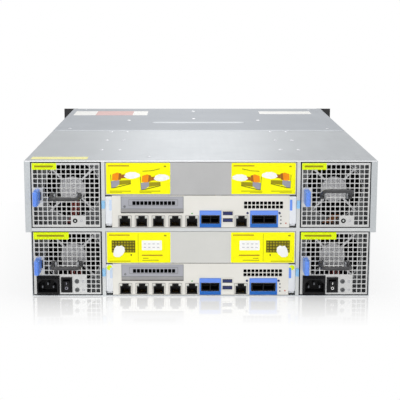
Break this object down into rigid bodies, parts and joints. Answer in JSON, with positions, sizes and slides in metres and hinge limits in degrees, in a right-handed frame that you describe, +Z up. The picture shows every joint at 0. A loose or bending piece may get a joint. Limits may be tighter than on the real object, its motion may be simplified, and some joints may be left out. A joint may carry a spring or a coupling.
{
  "type": "barebone server",
  "caption": "Rack-mount storage server chassis with stacked slide-out controllers, hot-swap fan and power modules at the rear, and drive trays at the front.",
  "frame": {"origin": "middle of the chassis floor's underside, halfway between the rear plane and the front plane", "axes": "+X to the right seen from the rear, +Y from the rear face towards the drive trays, +Z up"},
  "size_m": [0.4826, 0.7182, 0.176],
  "materials": {
    "tub_steel": "galvanised sheet",
    "cover_steel": "galvanised sheet",
    "frame_steel": "galvanised sheet",
    "panel_steel": "plated sheet",
    "blank_steel": "plated sheet",
    "module_steel": "punched plated sheet",
    "ear_black": "black powder coat",
    "button_plastic": "moulded",
    "black_plastic": "moulded",
    "fan_plastic": "moulded",
    "latch_blue": "moulded",
    "catch_blue": "moulded",
    "bezel_blue": "blue paint",
    "port_metal": "tinned shield",
    "board_green": "solder mask",
    "lever_steel": "white powder coat",
    "tray_plastic": "moulded"
  },
  "bodies": {
    "chassis": {"chassis_tub": "tub_steel", "bay_frame": "frame_steel", "top_cover_rear": "cover_steel", "rack_ear_left": "ear_black", "rack_ear_right": "ear_black", "lever_catches": "catch_blue", "blank_panel_lower": "blank_steel", "blank_panel_upper": "blank_steel", "drive_cage": "frame_steel", "midplane": "board_green", "drive_trays": "tray_plastic"},
    "front_cover": {"top_cover_front": "cover_steel"},
    "power_button": {"power_button": "button_plastic"},
    "fan_module_left": {"fan_housing_left": "module_steel", "fan_guard_left": "module_steel", "fan_frame_left": "fan_plastic"},
    "fan_module_right": {"fan_housing_right": "module_steel", "fan_guard_right": "module_steel", "fan_frame_right": "fan_plastic"},
    "psu_module_left": {"psu_housing_left": "module_steel", "psu_guard_left": "module_steel", "psu_fan_frame_left": "fan_plastic", "power_entry_left": "black_plastic"},
    "psu_module_right": {"psu_housing_right": "module_steel", "psu_guard_right": "module_steel", "psu_fan_frame_right": "fan_plastic", "power_entry_right": "black_plastic"},
    "fan_bail_left": {"fan_bail_left": "black_plastic"},
    "fan_latch_left": {"fan_latch_left": "latch_blue"},
    "fan_rotor_left": {"fan_rotor_left": "fan_plastic"},
    "fan_bail_right": {"fan_bail_right": "black_plastic"},
    "fan_latch_right": {"fan_latch_right": "latch_blue"},
    "fan_rotor_right": {"fan_rotor_right": "fan_plastic"},
    "psu_bail_left": {"psu_bail_left": "black_plastic"},
    "psu_latch_left": {"psu_latch_left": "latch_blue"},
    "psu_rotor_left": {"psu_rotor_left": "fan_plastic"},
    "rocker_left": {"rocker_left": "black_plastic"},
    "psu_bail_right": {"psu_bail_right": "black_plastic"},
    "psu_latch_right": {"psu_latch_right": "latch_blue"},
    "psu_rotor_right": {"psu_rotor_right": "fan_plastic"},
    "rocker_right": {"rocker_right": "black_plastic"},
    "controller_upper": {"controller_tray_upper": "panel_steel", "mainboard_upper": "board_green", "io_ports_upper": "port_metal", "port_bezels_upper": "bezel_blue", "card_bracket_upper": "panel_steel"},
    "eject_lever_upper_left": {"eject_lever_upper_left": "lever_steel"},
    "eject_lever_upper_right": {"eject_lever_upper_right": "lever_steel"},
    "controller_lower": {"controller_tray_lower": "panel_steel", "mainboard_lower": "board_green", "io_ports_lower": "port_metal", "port_bezels_lower": "bezel_blue", "card_bracket_lower": "panel_steel"},
    "eject_lever_lower_left": {"eject_lever_lower_left": "lever_steel"},
    "eject_lever_lower_right": {"eject_lever_lower_right": "lever_steel"},
    "drive_tray_1": {"drive_tray_1": "tray_plastic"},
    "drive_tray_2": {"drive_tray_2": "tray_plastic"},
    "drive_tray_3": {"drive_tray_3": "tray_plastic"},
    "drive_tray_4": {"drive_tray_4": "tray_plastic"}
  },
  "joints": [
    {"name": "fan_slide_left", "type": "slide", "parent": "chassis", "child": "fan_module_left", "axis": [0, -1, 0], "range_m": [0, 0.195]},
    {"name": "fan_slide_right", "type": "slide", "parent": "chassis", "child": "fan_module_right", "axis": [0, -1, 0], "range_m": [0, 0.195]},
    {"name": "psu_slide_left", "type": "slide", "parent": "chassis", "child": "psu_module_left", "axis": [0, -1, 0], "range_m": [0, 0.335]},
    {"name": "psu_slide_right", "type": "slide", "parent": "chassis", "child": "psu_module_right", "axis": [0, -1, 0], "range_m": [0, 0.335]},
    {"name": "fan_bail_left_turn", "type": "hinge", "parent": "fan_module_left", "child": "fan_bail_left", "pos_m": [-0.17087, -0.3291, 0.1318], "axis": [1, 0, 0], "range_deg": [-78, 52]},
    {"name": "fan_latch_left_press", "type": "slide", "parent": "fan_module_left", "child": "fan_latch_left", "axis": [1, 0, 0], "range_m": [0, 0.003], "stiffness_N_per_m": 600},
    {"name": "fan_rotor_left_spin", "type": "hinge", "parent": "fan_module_left", "child": "fan_rotor_left", "pos_m": [-0.17087, -0.2576, 0.1323], "axis": [0, 1, 0], "continuous": true},
    {"name": "fan_bail_right_turn", "type": "hinge", "parent": "fan_module_right", "child": "fan_bail_right", "pos_m": [0.17087, -0.3291, 0.1318], "axis": [1, 0, 0], "range_deg": [-57, 73]},
    {"name": "fan_latch_right_press", "type": "slide", "parent": "fan_module_right", "child": "fan_latch_right", "axis": [1, 0, 0], "range_m": [0, 0.003], "stiffness_N_per_m": 600},
    {"name": "fan_rotor_right_spin", "type": "hinge", "parent": "fan_module_right", "child": "fan_rotor_right", "pos_m": [0.17087, -0.2576, 0.1323], "axis": [0, 1, 0], "continuous": true},
    {"name": "psu_bail_left_turn", "type": "hinge", "parent": "psu_module_left", "child": "psu_bail_left", "pos_m": [-0.17087, -0.3291, 0.0432], "axis": [1, 0, 0], "range_deg": [-78, 52]},
    {"name": "psu_latch_left_press", "type": "slide", "parent": "psu_module_left", "child": "psu_latch_left", "axis": [1, 0, 0], "range_m": [0, 0.003], "stiffness_N_per_m": 600},
    {"name": "psu_rotor_left_spin", "type": "hinge", "parent": "psu_module_left", "child": "psu_rotor_left", "pos_m": [-0.17087, -0.2576, 0.0432], "axis": [0, 1, 0], "continuous": true},
    {"name": "rocker_left_tilt", "type": "hinge", "parent": "psu_module_left", "child": "rocker_left", "pos_m": [-0.17235, -0.3226, 0.0151], "axis": [1, 0, 0], "range_deg": [-16, 0]},
    {"name": "psu_bail_right_turn", "type": "hinge", "parent": "psu_module_right", "child": "psu_bail_right", "pos_m": [0.17087, -0.3291, 0.0432], "axis": [1, 0, 0], "range_deg": [-78, 52]},
    {"name": "psu_latch_right_press", "type": "slide", "parent": "psu_module_right", "child": "psu_latch_right", "axis": [1, 0, 0], "range_m": [0, 0.003], "stiffness_N_per_m": 600},
    {"name": "psu_rotor_right_spin", "type": "hinge", "parent": "psu_module_right", "child": "psu_rotor_right", "pos_m": [0.17087, -0.2576, 0.0432], "axis": [0, 1, 0], "continuous": true},
    {"name": "rocker_right_tilt", "type": "hinge", "parent": "psu_module_right", "child": "rocker_right", "pos_m": [0.1694, -0.3226, 0.0151], "axis": [1, 0, 0], "range_deg": [-16, 0]},
    {"name": "controller_slide_upper", "type": "slide", "parent": "chassis", "child": "controller_upper", "axis": [0, -1, 0], "range_m": [0, 0.405]},
    {"name": "eject_lever_upper_left_swing", "type": "hinge", "parent": "controller_upper", "child": "eject_lever_upper_left", "pos_m": [-0.117, -0.3186, 0.0968], "axis": [1, 0, 0], "range_deg": [0, 80]},
    {"name": "eject_lever_upper_right_swing", "type": "hinge", "parent": "controller_upper", "child": "eject_lever_upper_right", "pos_m": [0.117, -0.3186, 0.0968], "axis": [1, 0, 0], "range_deg": [0, 80]},
    {"name": "controller_slide_lower", "type": "slide", "parent": "chassis", "child": "controller_lower", "axis": [0, -1, 0], "range_m": [0, 0.405]},
    {"name": "eject_lever_lower_left_swing", "type": "hinge", "parent": "controller_lower", "child": "eject_lever_lower_left", "pos_m": [-0.117, -0.3186, 0.0082], "axis": [1, 0, 0], "range_deg": [0, 80]},
    {"name": "eject_lever_lower_right_swing", "type": "hinge", "parent": "controller_lower", "child": "eject_lever_lower_right", "pos_m": [0.117, -0.3186, 0.0082], "axis": [1, 0, 0], "range_deg": [0, 80]},
    {"name": "front_cover_lift", "type": "slide", "parent": "chassis", "child": "front_cover", "axis": [0, 0, 1], "range_m": [0, 0.08]},
    {"name": "power_button_press", "type": "slide", "parent": "chassis", "child": "power_button", "axis": [0, -1, 0], "range_m": [0, 0.001], "stiffness_N_per_m": 300},
    {"name": "drive_tray_slide_1", "type": "slide", "parent": "chassis", "child": "drive_tray_1", "axis": [0, 1, 0], "range_m": [0, 0.2]},
    {"name": "drive_tray_slide_2", "type": "slide", "parent": "chassis", "child": "drive_tray_2", "axis": [0, 1, 0], "range_m": [0, 0.2]},
    {"name": "drive_tray_slide_3", "type": "slide", "parent": "chassis", "child": "drive_tray_3", "axis": [0, 1, 0], "range_m": [0, 0.2]},
    {"name": "drive_tray_slide_4", "type": "slide", "parent": "chassis", "child": "drive_tray_4", "axis": [0, 1, 0], "range_m": [0, 0.2]}
  ]
}
